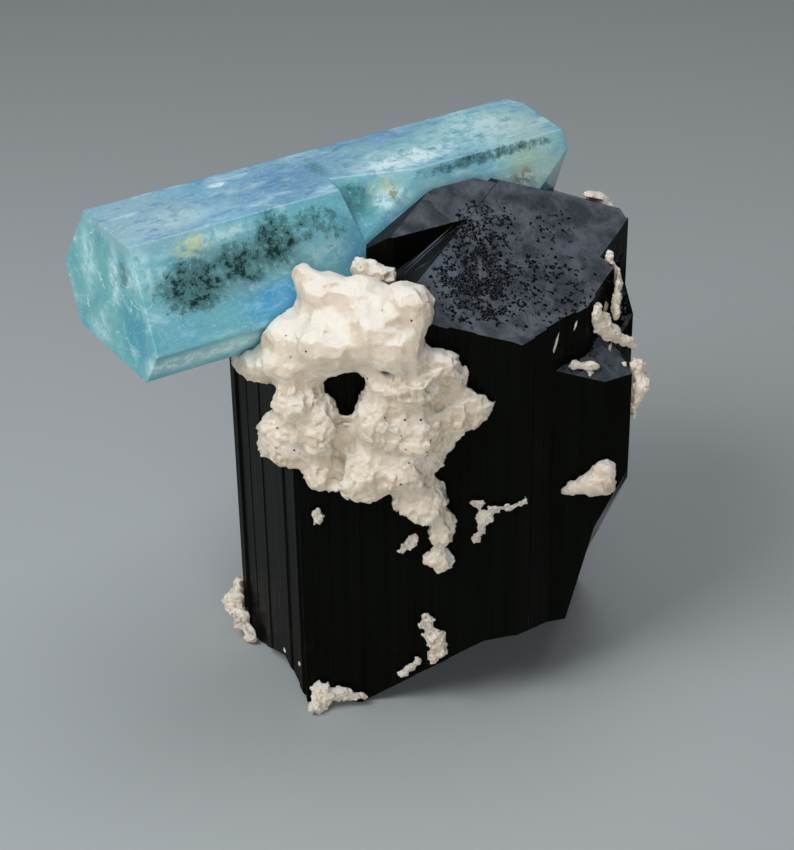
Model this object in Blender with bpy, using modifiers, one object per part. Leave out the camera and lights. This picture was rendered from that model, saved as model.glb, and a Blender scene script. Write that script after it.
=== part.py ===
"""Aquamarine crystal lying across a black tourmaline, with white albite grown around them.

All dimensions are in millimetres. The tourmaline stands with its c axis on Z and its flat
base on z = 0. A side face is given by its azimuth (0 faces -Y, 90 faces +X) and its distance
from the axis. A sloping face adds a rise angle, measured from the horizontal.
"""
import math
import random

import bmesh
import bpy
from mathutils import Matrix, Vector, noise

MM = 0.001
GAP = 0.3                 # clearance kept between crystals that touch
BLOCK = 240.0             # raw block that a crystal is cut from

# Tourmaline: three rhombohedron faces 120 degrees apart close the top of each individual.
R_SLOPE = 27.3
MAIN_SIDES = [(-2, 20.0), (40, 22.1), (58, 22.5), (118, 20.6), (178, 20.0), (238, 18.5), (298, 23.0)]
MAIN_TOP = [(28, 55.9), (148, 56.9), (268, 50.6)]
STRIA_DEPTH = 0.35        # deepest growth striation on the prism faces
STRIA_WIDTH = (0.7, 2.4)

# Aquamarine: hexagonal prism, local X along the crystal, local Z up.
AQUA_LENGTH = 58.0
AQUA_SIDES = [(0, 8.4), (60, 8.25), (120, 10.65), (180, 6.9), (240, 9.75), (300, 9.45)]
AQUA_PLACE = (-36.2, -14.8, 55.0)
AQUA_TURN = (1.7, -0.45, 29.9)

COLOURS = {
    "aquamarine": ((0.16, 0.50, 0.60), 0.12, 0.85),
    "tourmaline": ((0.012, 0.013, 0.016), 0.30, 0.0),
    "albite": ((0.80, 0.74, 0.66), 0.65, 0.0),
}


def clear_scene():
    for obj in list(bpy.data.objects):
        bpy.data.objects.remove(obj)


def new_collection(name):
    coll = bpy.data.collections.new(name)
    bpy.context.scene.collection.children.link(coll)
    return coll


def make_material(name):
    colour, rough, clear = COLOURS[name]
    mat = bpy.data.materials.new(name)
    mat.use_nodes = True
    shader = mat.node_tree.nodes["Principled BSDF"]
    shader.inputs["Base Color"].default_value = (*colour, 1.0)
    shader.inputs["Roughness"].default_value = rough
    shader.inputs["Metallic"].default_value = 0.0
    shader.inputs["Transmission Weight"].default_value = clear
    shader.inputs["IOR"].default_value = 1.58 if clear else 1.62
    return mat


def add_object(name, bm, coll, mat=None):
    bmesh.ops.recalc_face_normals(bm, faces=bm.faces)
    mesh = bpy.data.meshes.new(name)
    bm.to_mesh(mesh)
    bm.free()
    obj = bpy.data.objects.new(name, mesh)
    coll.objects.link(obj)
    if mat:
        mesh.materials.append(mat)
    else:
        obj.hide_render = True
        obj.display_type = 'WIRE'
    return obj


def side(azimuth, slope=90.0):
    """Outward normal of a face with the given azimuth, sloping so many degrees from flat."""
    a, s = math.radians(azimuth), math.radians(slope)
    return Vector((math.sin(s) * math.sin(a), -math.sin(s) * math.cos(a), math.cos(s)))


def cut_flat(bm, normal, distance):
    """Keep the material behind one plane and close the cut with a face."""
    normal = Vector(normal).normalized()
    geom = bm.verts[:] + bm.edges[:] + bm.faces[:]
    res = bmesh.ops.bisect_plane(bm, geom=geom, dist=1e-7, plane_co=normal * distance * MM,
                                 plane_no=normal, clear_outer=True)
    rim = [e for e in res["geom_cut"] if isinstance(e, bmesh.types.BMEdge)]
    if rim:
        bmesh.ops.edgeloop_fill(bm, edges=rim)


def crystal_block(planes, grow=0.0):
    """Convex crystal bounded by (normal, distance) planes, each moved out by grow."""
    bm = bmesh.new()
    bmesh.ops.create_cube(bm, size=BLOCK * MM)
    for normal, distance in planes:
        cut_flat(bm, normal, distance + grow)
    return bm


def corners(sides, grow=0.0):
    """Corner points of the cross-section that the side faces enclose."""
    pts = []
    for (a1, d1), (a2, d2) in zip(sides[-1:] + sides[:-1], sides):
        n1, n2 = side(a1), side(a2)
        m = Matrix(((n1.x, n1.y), (n2.x, n2.y))).inverted()
        pts.append(m @ Vector((d1 + grow, d2 + grow)))
    return pts


def striated_outline(sides, seed):
    """Cross-section whose faces step in and out by fractions of a millimetre."""
    rng = random.Random(seed)
    pts = corners(sides)
    outline = []
    for i, (az, _dist) in enumerate(sides):
        start, end = pts[i], pts[(i + 1) % len(pts)]
        inward = Vector((-side(az).x, -side(az).y))
        along = (end - start).normalized()
        length = (end - start).length
        t, depth = 0.0, 0.0
        outline.append(start)
        while True:
            t += rng.uniform(*STRIA_WIDTH)
            if t > length - 0.9:
                break
            outline.append(start + along * t + inward * depth)
            depth = rng.uniform(0.05, STRIA_DEPTH) if depth < 0.05 or rng.random() < 0.6 else 0.0
            t += 0.25
            outline.append(start + along * t + inward * depth)
    return outline


def extrude_outline(outline, low, high):
    bm = bmesh.new()
    ring = [bm.verts.new((p.x * MM, p.y * MM, low * MM)) for p in outline]
    edges = [bm.edges.new((a, b)) for a, b in zip(ring, ring[1:] + ring[:1])]
    base = bmesh.ops.edgeloop_fill(bm, edges=edges)["faces"]
    top = bmesh.ops.extrude_face_region(bm, geom=base)["geom"]
    verts = [v for v in top if isinstance(v, bmesh.types.BMVert)]
    bmesh.ops.translate(bm, verts=verts, vec=(0, 0, (high - low) * MM))
    return bm


def combine(obj, tool, operation):
    mod = obj.modifiers.new(operation.title() + " " + tool.name, 'BOOLEAN')
    mod.operation = operation
    mod.solver = 'EXACT'
    mod.object = tool
    return mod


# --- tourmaline -------------------------------------------------------------------------------

INDIVIDUALS = {
    # overgrows the left shoulder and reaches the aquamarine with a sharp point
    "left_individual": [
        (side(28, R_SLOPE), 55.78), (side(268, R_SLOPE), 54.7), (side(148, R_SLOPE), 56.5),
        (side(-2), 9.8), (side(28), 6.6), (side(118), 9.0), (side(208), -2.0), (side(220), -1.9),
        (side(268), 6.9),
        (Vector((-0.65, 0.0, -0.76)), -38.2)],
    # lower crystal with its own small termination, parallel to the main one
    "right_individual": [
        (side(28, R_SLOPE), 50.2), (side(-2), 16.0), (side(28), 24.1), (side(58), 27.65),
        (side(118), 13.5), (side(238), -8.0), (side(180), 6.0), (Vector((0, 0, -1)), -5.0)],
    # broken shoulder behind it
    "right_shoulder": [
        (Vector((0.57, -0.64, 0.51)), 41.6), (side(28, R_SLOPE), 52.5), (side(148, R_SLOPE), 56.3),
        (side(58), 23.6), (side(118), 18.5), (side(-2), 12.0), (side(238), -8.0), (side(180), 6.0),
        (Vector((0, 0, -1)), -5.0)],
}
# Regions broken away from the crystal: each is the space in front of all its planes.
BROKEN = {
    "break_right_flank": [(Vector((0.844, -0.383, -0.375)), 13.83),
                          (Vector((0.944, -0.251, -0.215)), 17.37)],
    "break_front_base": [(Vector((0.504, -0.326, -0.80)), 1.95), (Vector((0.193, -0.424, -0.885)), 1.2)],
    "break_left_base": [(Vector((-0.69, 0.07, -0.72)), 9.4), (Vector((-0.163, -0.471, -0.866)), 6.9)],
}
# Upper right corner of the main individual, missing before the shoulder grew beside it.
CORNER_LOSS = [(side(58), 20.4), (side(148), 4.8), (Vector((0.35, -0.2, 0.91)), 42.0)]


def broken_space(planes, grow=0.0):
    """Space in front of all the planes, pulled back by grow from the crystal it is cut out of."""
    return crystal_block([(-n.normalized(), -d - grow) for n, d in planes])


def tourmaline(name, coll, tools, mat=None, grow=0.0):
    """The joined individuals less the broken regions; grown, they give the clearance body."""
    outline = corners(MAIN_SIDES, grow) if grow else striated_outline(MAIN_SIDES, seed=7)
    bm = extrude_outline(outline, -grow, 90.0)
    for az, dist in MAIN_TOP:
        cut_flat(bm, side(az, R_SLOPE), dist + grow)
    body = add_object(name, bm, coll, mat)
    combine(body, add_object(name + "_corner_loss", broken_space(CORNER_LOSS, grow), tools), 'DIFFERENCE')
    for label, planes in INDIVIDUALS.items():
        combine(body, add_object(name + "_" + label, crystal_block(planes, grow), tools), 'UNION')
    for label, planes in BROKEN.items():
        combine(body, add_object(name + "_" + label, broken_space(planes, grow), tools), 'DIFFERENCE')
    return body


# --- aquamarine -------------------------------------------------------------------------------

def across(angle):
    """Normal of a long face of the aquamarine; 0 is its top face, 60 its upper front face."""
    g = math.radians(angle)
    return Vector((0.0, -math.sin(g), math.cos(g)))


AQUA_ENDS = [
    (Vector((-1.0, -0.069, 0.064)), 0.0),            # near end, almost square to the axis
    (Vector((1.0, 0.0, 0.0)), AQUA_LENGTH),          # far end
    (Vector((0.474, -0.822, -0.316)), 30.4),         # oblique face on the far end
    (Vector((0.62, 0.35, 0.70)), 43.2),              # small corner face at the far top edge
]
AQUA_NOTCH = [(Vector((0.954, -0.086, 0.286)), 28.9), (Vector((-0.198, -0.655, 0.729)), 1.6)]
AQUA_THIN = [(across(69), 7.8), (Vector((1.0, 0.0, 0.0)), 39.2)]


def place_aquamarine(obj):
    obj.location = Vector(AQUA_PLACE) * MM
    obj.rotation_euler = [math.radians(v) for v in AQUA_TURN]


def aquamarine(name, coll, tools, mat=None, grow=0.0):
    planes = [(across(a), d) for a, d in AQUA_SIDES] + AQUA_ENDS
    obj = add_object(name, crystal_block(planes, grow), coll, mat)
    place_aquamarine(obj)
    for label, region in (("notch", AQUA_NOTCH), ("thin_side", AQUA_THIN)):
        cut = add_object(name + "_" + label, broken_space(region, grow), tools)
        place_aquamarine(cut)
        combine(obj, cut, 'DIFFERENCE')
    return obj


# --- albite -----------------------------------------------------------------------------------

LEAN = 32.0     # the rounded lumps lean back by this angle

# Each lump: centre x, y, z, then half width, half thickness and half height.
ALBITE = {
    "albite_main_mass": (0.75, 0.3, [
        # upper lump, wedged between the aquamarine and the front of the tourmaline
        (-14.2, -15.0, 56.7, 1.4, 2.0, 2.3), (-12.0, -15.8, 55.3, 3.5, 3.5, 3.0),
        (-8.0, -17.0, 55.2, 3.8, 3.8, 3.2), (-2.8, -19.6, 55.5, 3.5, 4.0, 3.5),
        (-15.4, -17.0, 50.4, 4.0, 4.2, 3.3), (-20.2, -14.0, 46.5, 3.0, 3.6, 2.4),
        (-11.3, -20.0, 51.4, 4.6, 4.5, 3.7), (-6.3, -21.0, 53.1, 4.1, 4.0, 3.6),
        (-14.8, -19.0, 48.2, 5.2, 4.0, 2.3), (-19.0, -16.5, 46.3, 3.0, 3.6, 1.8),
        (-7.9, -20.8, 49.8, 2.1, 3.0, 1.6),
        # left lobe, over the near left edge of the prism
        (-15.2, -20.5, 44.2, 3.2, 3.4, 2.9), (-16.7, -18.7, 39.2, 3.5, 3.6, 3.3),
        (-13.1, -21.0, 41.5, 3.3, 3.2, 3.9), (-13.0, -20.5, 35.0, 2.4, 2.6, 2.8),
        (-18.6, -17.2, 36.8, 2.1, 3.0, 2.2), (-16.6, -20.0, 37.4, 2.5, 2.6, 2.3),
        # right lobe with its arms and its tail
        (-4.1, -22.0, 51.8, 3.6, 3.6, 3.4), (0.9, -21.0, 49.0, 2.5, 3.0, 2.4),
        (2.4, -20.6, 47.4, 2.0, 2.2, 1.9), (-6.4, -21.3, 46.6, 1.5, 2.4, 1.3),
        (-2.5, -22.0, 47.2, 3.7, 3.4, 2.9), (-6.1, -21.5, 42.7, 3.0, 3.2, 4.3),
        (-8.1, -21.5, 35.3, 3.7, 3.2, 3.8), (-7.8, -21.3, 41.0, 1.8, 2.8, 1.9),
        (-2.0, -21.5, 41.3, 3.9, 3.4, 4.2),
        (2.6, -20.8, 42.4, 3.0, 2.4, 2.5), (4.6, -20.5, 43.7, 2.1, 1.8, 2.2),
        (6.2, -20.4, 43.1, 1.3, 1.4, 1.4), (7.1, -20.3, 44.0, 0.9, 1.1, 0.9),
        (4.7, -20.4, 41.0, 1.4, 1.5, 1.2),
        (1.8, -20.5, 39.4, 1.8, 2.0, 1.7), (0.6, -20.8, 37.4, 1.5, 2.2, 2.0),
        (-3.7, -21.5, 35.9, 3.9, 3.2, 3.5), (-1.1, -21.0, 31.4, 3.1, 2.6, 3.5),
        (-2.8, -21.0, 31.1, 2.2, 2.4, 2.3), (1.0, -20.8, 27.2, 2.0, 2.2, 2.8),
        (0.7, -20.6, 22.3, 2.3, 1.8, 1.9)]),
    "albite_under_point": (0.45, 0.35, [
        (-7.6, -11.0, 56.2, 1.6, 2.0, 1.5), (-5.4, -12.5, 56.0, 1.7, 2.0, 1.4)]),
    "albite_crumb": (0.3, 0.3, [(-13.5, -20.1, 28.6, 0.9, 1.0, 1.1), (-13.4, -20.1, 27.8, 0.5, 0.8, 0.9)]),
    "albite_chip": (0.3, 0.25, [
        (-2.2, -20.1, 25.3, 0.7, 0.9, 0.9), (-2.9, -20.1, 24.2, 0.9, 0.9, 0.8),
        (-3.6, -20.1, 23.3, 0.7, 0.8, 0.6)]),
    "albite_branch": (0.3, 0.25, [
        (5.3, -20.3, 30.1, 1.0, 0.9, 0.9), (6.1, -20.3, 28.3, 1.3, 0.9, 1.4),
        (5.7, -20.3, 26.6, 0.8, 0.9, 1.0),
        (5.0, -20.3, 25.3, 0.8, 0.8, 0.9), (7.6, -20.3, 29.3, 1.4, 0.9, 0.7),
        (9.0, -20.3, 29.6, 1.1, 0.9, 0.6),
        (10.4, -20.3, 30.2, 1.0, 0.9, 0.8)]),
    "albite_clump_lower": (0.35, 0.25, [
        (-0.8, -20.3, 12.9, 1.2, 1.2, 1.3), (0.2, -20.5, 10.6, 1.6, 1.4, 1.7),
        (0.8, -20.4, 8.9, 1.4, 1.3, 1.2),
        (-0.1, -20.2, 7.6, 1.0, 1.1, 1.2)]),
    "albite_sliver_lower": (0.3, 0.2, [
        (-1.8, -20.1, 7.0, 0.8, 0.8, 0.8), (-2.9, -20.1, 5.8, 1.0, 0.8, 0.7),
        (-3.9, -20.1, 4.9, 0.8, 0.8, 0.7)]),
    "albite_knob_right": (0.45, 0.2, [
        (19.3, -17.1, 30.6, 2.4, 2.0, 1.75), (20.3, -16.9, 32.2, 1.7, 1.8, 1.6),
        (16.9, -16.9, 29.7, 1.6, 1.5, 1.05), (15.9, -16.8, 29.3, 0.9, 1.2, 0.8),
        (20.6, -16.6, 29.9, 1.4, 1.6, 1.3)]),
    "albite_edge_right": (0.4, 0.25, [
        (23.8, -14.0, 44.5, 1.1, 1.4, 1.2), (24.1, -14.0, 42.4, 1.65, 1.6, 2.0),
        (23.9, -14.0, 40.4, 1.3, 1.4, 1.5), (23.6, -14.1, 38.6, 0.9, 1.2, 1.3)]),
    "albite_foot_left": (0.45, 0.35, [
        (-24.5, -3.4, 5.6, 1.3, 1.6, 1.8), (-25.2, -3.4, 3.7, 1.9, 1.9, 2.0),
        (-24.4, -5.2, 2.3, 1.5, 1.9, 1.7),
        (-23.0, -7.0, 1.0, 1.3, 1.6, 1.3)]),
    "albite_foot_front": (0.45, 0.3, [
        (-13.8, -20.2, 2.0, 1.7, 1.9, 1.9), (-11.3, -20.2, 1.8, 2.0, 1.4, 1.1),
        (-9.2, -20.3, 1.5, 1.4, 1.1, 0.7),
        (-14.4, -21.2, 0.6, 1.3, 1.7, 1.4)]),
    "albite_seam": (0.35, 0.2, [
        (18.9, -12.6, 50.9, 1.1, 1.6, 1.5), (19.5, -12.2, 49.4, 1.6, 1.6, 1.4),
        (20.9, -11.8, 47.8, 1.5, 1.5, 1.1), (22.4, -11.2, 46.4, 1.4, 1.4, 0.8),
        (23.4, -10.8, 45.5, 0.9, 1.2, 0.6)]),
    "albite_seam_upper": (0.35, 0.2, [
        (20.8, -6.2, 54.4, 0.9, 1.2, 1.3), (21.5, -7.2, 53.1, 0.8, 1.1, 1.4),
        (21.9, -8.0, 52.0, 0.8, 1.1, 1.3), (21.7, -8.9, 50.8, 0.8, 1.1, 1.3),
        (21.6, -9.9, 49.4, 0.65, 1.0, 1.2)]),
    "albite_patch_small": (0.3, 0.15, [
        (16.5, -15.7, 45.7, 1.3, 0.9, 0.7), (18.1, -15.5, 45.4, 1.5, 0.9, 0.8)]),
    "albite_block_back": (0.5, 0.15, [
        (19.7, 6.4, 55.8, 1.4, 2.2, 1.3), (20.9, 6.3, 55.6, 1.4, 2.2, 1.3),
        (22.0, 6.1, 54.8, 1.1, 2.0, 1.2),
        (21.0, 8.5, 52.5, 1.8, 2.4, 2.4)]),
}
# share of triangles kept
DETAIL = {"albite_main_mass": 0.30, "albite_block_back": 0.28, "albite_seam": 0.32,
          "albite_edge_right": 0.3, "albite_seam_upper": 0.32}


def lump_mesh(lumps, voxel, rough, seed):
    """Merge the rounded lumps into one skin and break it up into blunt, blocky grains."""
    bm = bmesh.new()
    tilt = Matrix.Rotation(math.radians(-LEAN), 4, 'X')
    for x, y, z, wide, thick, high in lumps:
        place = Matrix.Translation(Vector((x, y, z)) * MM) @ tilt
        place = place @ Matrix.Diagonal((wide * MM, thick * MM, high * MM, 1.0))
        bmesh.ops.create_icosphere(bm, subdivisions=3, radius=1.0, matrix=place)
    mesh = bpy.data.meshes.new("lumps")
    bm.to_mesh(mesh)
    bm.free()
    raw = bpy.data.objects.new("lumps", mesh)
    bpy.context.scene.collection.objects.link(raw)
    skin = raw.modifiers.new("Skin", 'REMESH')
    skin.mode = 'VOXEL'
    skin.voxel_size = voxel * MM
    graph = bpy.context.evaluated_depsgraph_get()
    merged = bpy.data.meshes.new_from_object(raw.evaluated_get(graph))
    bpy.data.objects.remove(raw)
    bm = bmesh.new()
    bm.from_mesh(merged)
    bm.normal_update()
    shift = Vector((seed * 3.1, seed * 1.7, seed * 2.3))
    for v in bm.verts:
        p = v.co / MM
        coarse = noise.noise(p * (0.28 / voxel) + shift)
        grain = noise.cell(p * (0.55 / voxel) + shift) - 0.5
        v.co += v.normal * (coarse * 1.1 + grain * 0.8) * rough * MM
    return bm


def keep_largest_body(bm):
    """Drop the loose crumbs that a cut may leave beside the main body."""
    left, bodies = set(bm.verts), []
    while left:
        body, front = set(), [left.pop()]
        while front:
            v = front.pop()
            body.add(v)
            for edge in v.link_edges:
                other = edge.other_vert(v)
                if other in left:
                    left.remove(other)
                    front.append(other)
        bodies.append(body)
    bodies.sort(key=len)
    crumbs = [v for body in bodies[:-1] for v in body]
    bmesh.ops.delete(bm, geom=crumbs, context='VERTS')


def albite(name, coll, mat, tools, seed):
    voxel, rough, lumps = ALBITE[name]
    draft = add_object(name + "_draft", lump_mesh(lumps, voxel, rough, seed), bpy.context.scene.collection)
    thin = draft.modifiers.new("Thin out", 'DECIMATE')
    thin.decimate_type = 'COLLAPSE'
    thin.ratio = DETAIL.get(name, 0.4)
    for tool in tools:
        combine(draft, tool, 'DIFFERENCE')
    graph = bpy.context.evaluated_depsgraph_get()
    cut = bpy.data.meshes.new_from_object(draft.evaluated_get(graph))
    bpy.data.objects.remove(draft)
    bm = bmesh.new()
    bm.from_mesh(cut)
    keep_largest_body(bm)
    bmesh.ops.dissolve_degenerate(bm, edges=bm.edges, dist=0.01 * MM)
    return add_object(name, bm, coll, mat)


def main():
    clear_scene()
    parts = new_collection("aquamarine_on_tourmaline")
    tools = new_collection("cutters")
    mats = {name: make_material(name) for name in COLOURS}

    aquamarine("aquamarine_crystal", parts, tools, mats["aquamarine"])
    around_aquamarine = aquamarine("aquamarine_clearance", tools, tools, grow=GAP)
    body = tourmaline("tourmaline_crystal", parts, tools, mats["tourmaline"])
    combine(body, around_aquamarine, 'DIFFERENCE')

    around_tourmaline = tourmaline("tourmaline_clearance", tools, tools, grow=GAP)
    below_ground = add_object("below_ground", broken_space([(Vector((0, 0, -1)), 0.0)]), tools)
    for seed, name in enumerate(ALBITE):
        albite(name, parts, mats["albite"], [around_aquamarine, around_tourmaline, below_ground], seed)


if __name__ == "__main__":
    main()
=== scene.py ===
"""Aquamarine crystal on black tourmaline with white albite: looks and fine detail.

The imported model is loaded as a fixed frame. Each operator dresses one piece or a group of like
pieces, and the last ones make the floor, the lights and the camera.
"""
import math
import random

import bmesh
import bpy
import numpy as np
from mathutils import Euler, Matrix, Vector, noise


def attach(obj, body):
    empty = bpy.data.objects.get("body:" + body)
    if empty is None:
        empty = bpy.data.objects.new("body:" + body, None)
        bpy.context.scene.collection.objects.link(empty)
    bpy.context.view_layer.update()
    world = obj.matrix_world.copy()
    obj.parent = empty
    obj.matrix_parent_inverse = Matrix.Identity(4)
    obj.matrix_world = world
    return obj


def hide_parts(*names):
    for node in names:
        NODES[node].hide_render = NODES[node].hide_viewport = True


bl_info = {
    "name": "Aquamarine on Tourmaline",
    "version": (1, 0, 0),
    "blender": (4, 5, 0),
    "location": "View3D > Sidebar > Specimen",
    "description": "Dresses a mineral specimen of aquamarine, black tourmaline and albite",
    "category": "Add Mesh",
}

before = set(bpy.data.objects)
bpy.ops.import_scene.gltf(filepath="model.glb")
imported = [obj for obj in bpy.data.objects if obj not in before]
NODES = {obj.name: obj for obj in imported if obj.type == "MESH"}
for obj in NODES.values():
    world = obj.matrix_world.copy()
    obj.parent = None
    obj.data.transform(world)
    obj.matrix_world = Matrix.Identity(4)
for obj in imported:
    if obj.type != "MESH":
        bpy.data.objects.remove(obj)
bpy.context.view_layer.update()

MM = 0.001
# node settings for a soft change from one value to another
EASED = {"interpolation_type": "SMOOTHSTEP"}
# typical indices of refraction
BERYL_IOR, SCHORL_IOR, ALBITE_IOR = 1.577, 1.64, 1.53

# the aquamarine lies in its own axes: x along the crystal, -y to the front, z up
AQUA_PLACE = (-36.2, -14.8, 55.0)
AQUA_TURN = (1.7, -0.45, 29.9)
AQUA_LENGTH = 58.0
# its six sides: angle about its length in degrees, distance from its axis in mm
AQUA_SIDES = ((0, 8.4), (60, 8.25), (120, 10.65), (180, 6.9), (240, 9.75), (300, 9.45))

# milky patches in the beryl, and a patch of painted light, as (along, across, up), half sizes in mm,
# strength
AQUA_CLOUDS_AND_GLOW = [
    ((1.6, -5.6, 5.0), (2.2, 3.0, 4.6), 0.55),     # cream band behind the near end
    ((11.0, -5.4, 7.4), (6.5, 1.6, 1.4), 0.6),     # along the upper front edge
    ((23.5, -7.4, 3.0), (4.0, 2.6, 2.6), 0.45),    # cloud before the notch
    ((15.8, 3.7, 8.4), (1.5, 0.7, 1.6), 1.0),
    ((8.5, -1.0, 8.4), (7.0, 3.0, 1.5), 0.4),
    ((38.0, -1.6, 8.4), (9.0, 3.0, 2.4), 0.95),
    ((49.0, 0.5, 8.0), (8.0, 6.0, 4.0), 0.6),
    ((33.5, -5.5, 6.0), (3.6, 2.0, 1.8), 0.7),
    ((46.0, -7.0, 3.8), (11.0, 2.6, 2.6), 0.85),
    ((6.0, -9.9, -4.6), (10.5, 2.0, 2.0), 0.75),    # painted light: a pale strip along the lower front edge, which faces down, lit as if from inside the crystal
    ((-0.2, 5.1, 2.5), (1.2, 2.8, 5.4), 0.6),
    ((0.0, -1.2, 3.4), (1.2, 1.8, 5.0), 0.7),
    ((0.0, 3.0, -5.5), (1.2, 4.0, 1.8), 0.6),
]
# zones of tint, among them painted light and painted shade: centre, half sizes in mm, colour, strength
AQUA_ZONES = [
    ((0.0, 0.0, 0.0), (2.4, 14.0, 14.0), "7EE0DC", 0.85),      # teal near end
    ((0.3, -5.6, -1.4), (2.0, 4.0, 5.6), "4CC6D8", 0.9),
    ((0.2, 2.0, -4.0), (2.0, 3.4, 3.4), "A4EBE4", 0.5),
    ((17.0, -9.0, -0.6), (6.5, 4.0, 3.4), "62C8FA", 0.95),     # sky blue, low in the middle
    ((4.0, 0.0, 8.4), (9.0, 9.0, 2.0), "C2E6F2", 0.75),        # paler near end of the upper face
    ((22.0, 1.0, 8.4), (7.0, 4.0, 2.0), "84BCF0", 0.6),
    ((45.0, 0.0, 7.0), (16.0, 11.0, 9.0), "B2F4FF", 1.0),      # pale cyan far half
    ((38.5, 4.9, 8.4), (6.0, 2.2, 2.0), "A0D0FF", 0.75),
    ((53.5, -2.0, 4.0), (6.5, 10.0, 8.0), "E0FCE6", 0.8),      # greenish far end
    ((27.6, 1.4, 8.4), (1.0, 2.6, 1.6), "6FB4B4", 0.7),        # painted shade for a step in the upper face, which the mesh does not have
    ((30.0, -4.3, 6.2), (2.6, 3.0, 2.6), "4FA4AC", 0.85),      # teal by the notch
    ((34.0, -6.5, 2.5), (3.6, 3.0, 3.0), "74CCFA", 0.85),
    ((27.0, -7.6, 1.0), (3.6, 3.0, 5.6), "5CB0D0", 0.6),
    ((12.0, -7.0, 3.7), (11.5, 3.5, 4.4), "86B4B4", 0.85),     # greyed behind the inclusions
    # painted light: the same pale strip along the lower front edge
    ((6.0, -9.9, -4.8), (12.0, 2.2, 2.4), "C8FFFF", 1.0),
]
# dark green inclusions, close under the front face
AQUA_MOTTLES = [
    ((7.0, -7.6, 3.2), (5.4, 3.2, 4.2), 1.0),
    ((13.4, -7.0, 4.0), (5.0, 2.8, 3.4), 0.95),
    ((18.2, -6.2, 5.2), (3.6, 2.8, 4.8), 1.0),
    ((47.0, -5.0, 7.8), (12.0, 1.2, 0.9), 0.75),
    ((29.8, -3.9, 6.8), (2.6, 2.6, 2.2), 0.45),
    ((1.0, -3.2, 4.6), (1.4, 1.6, 3.0), 0.6),
    ((23.4, -6.5, 5.6), (4.6, 2.4, 3.4), 0.6),
]
# where fine cracks reach the near end
AQUA_CRACKED = ((0.0, 0.0, 1.0), (3.2, 14.0, 14.0), 0.8)
# brown stains on the right half, and pale yellow patches
AQUA_STAINS = [
    ((33.9, -5.1, 6.6), (0.8, 1.6, 2.8), 0.85),
    ((51.2, -6.6, 4.7), (2.2, 1.4, 1.7), 0.8),
    ((29.0, -5.4, 6.4), (1.4, 1.4, 1.2), 0.4),
]
YELLOW_PATCH = [((8.0, -5.4, 7.0), (3.0, 2.2, 1.5), 0.85), ((52.0, -5.0, 6.0), (4.5, 2.0, 2.6), 0.35),
                ((33.0, -4.6, 7.4), (3.0, 1.6, 1.4), 0.5)]

# albite pieces: node -> (voxel, grain, depth of the grain relief), all in mm
ALBITE_DETAIL = {
    "albite_main_mass": (0.17, 1.3, 0.24),
    "albite_under_point": (0.12, 1.4, 0.10),
    "albite_crumb": (0.08, 0.7, 0.14),
    "albite_chip": (0.07, 0.6, 0.12),
    "albite_branch": (0.08, 0.7, 0.14),
    "albite_clump_lower": (0.09, 0.9, 0.20),
    "albite_sliver_lower": (0.07, 0.6, 0.12),
    "albite_knob_right": (0.11, 0.9, 0.07),
    "albite_edge_right": (0.10, 1.0, 0.16),
    "albite_foot_left": (0.12, 1.1, 0.22),
    "albite_foot_front": (0.11, 1.0, 0.20),
    "albite_seam": (0.09, 0.8, 0.12),
    "albite_seam_upper": (0.08, 0.8, 0.10),
    "albite_patch_small": (0.07, 0.6, 0.10),
    "albite_block_back": (0.13, 1.6, 0.10),
}
# the upper lump of the main mass is smooth above this height in mm, rising to the right
SMOOTH_ABOVE, SMOOTH_RISE = 50.2, 0.2
# the pieces whose facets are shaded as one soft surface, and not each on its own
SOFT_SHADED = ("albite_main_mass", "albite_knob_right", "albite_block_back", "albite_under_point")
# painted shade inside the small hole in the main mass: centre, half sizes in mm
HOLE_PAINTED_SHADE = ((-5.2, -23.0, 49.9), (1.0, 3.0, 1.1))
# a small hole in the main mass, and the crease between its lobes: points in mm, radius, depth
HOLLOWS = [
    ((-5.2, -24.2, 49.5), (-5.2, -23.6, 49.9), 1.0, 1.8),
    ((-10.1, -21.9, 42.6), (-11.4, -22.9, 34.6), 0.9, 1.0),
    ((-6.6, -23.3, 38.9), (-5.6, -24.0, 33.8), 0.9, 0.4),
    ((0.3, -24.2, 47.7), (3.0, -22.6, 47.8), 0.8, 1.1),
    ((-14.6, -20.9, 53.9), (-8.8, -23.4, 54.6), 1.6, 0.4),
]

# the widest end face of the tourmaline, and where it is pitted: centre, half sizes in mm, strength
ETCHED_FACE = (0.215, -0.405, 0.889)
ETCH_ZONES = [
    ((5.6, -12.8, 55.8), (6.4, 8.4, 6.0), 1.0),
    ((6.4, -6.0, 58.4), (4.6, 5.6, 3.0), 0.85),
    ((12.5, -12.0, 54.0), (8.0, 9.0, 4.0), 0.45),
    ((17.0, -13.5, 46.5), (5.5, 4.0, 3.0), 0.4),
    ((14.5, -4.0, 57.3), (5.0, 5.0, 3.0), 0.22),
]
PALE_SLATE = ((0.6, -11.2, 56.8), (3.4, 5.0, 3.0), 0.6)
# the pits and the rough broken shoulder in the mesh: centre, reach, longest edge, all in mm
PIT_CENTRE, PIT_REACH, PIT_EDGE, PIT_LOWEST = (7.2, -12.5, 55.6), 10, 0.28, 50
ROUGH_CENTRE, ROUGH_REACH, ROUGH_EDGE = (22.5, -6.5, 48.5), 7, 0.40
PLAIN_EDGE = 2.0
# without a seed, noise_vector gives other values each time Blender starts
PIT_SEED = 7
STEEP_FACE = (-0.46, 0.02, 0.89)
# raised edges of thin growth layers on the steep left face: start, end, width in mm
LEDGES = [
    ((4.6, -5.6, 59.45), (-4.5, -13.3, 56.75), 0.32),
    ((0.6, -11.1, 57.45), (-2.6, -12.0, 55.75), 0.30),
    ((2.4, -8.3, 58.5), (-3.4, -13.2, 57.0), 0.16),
]

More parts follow.
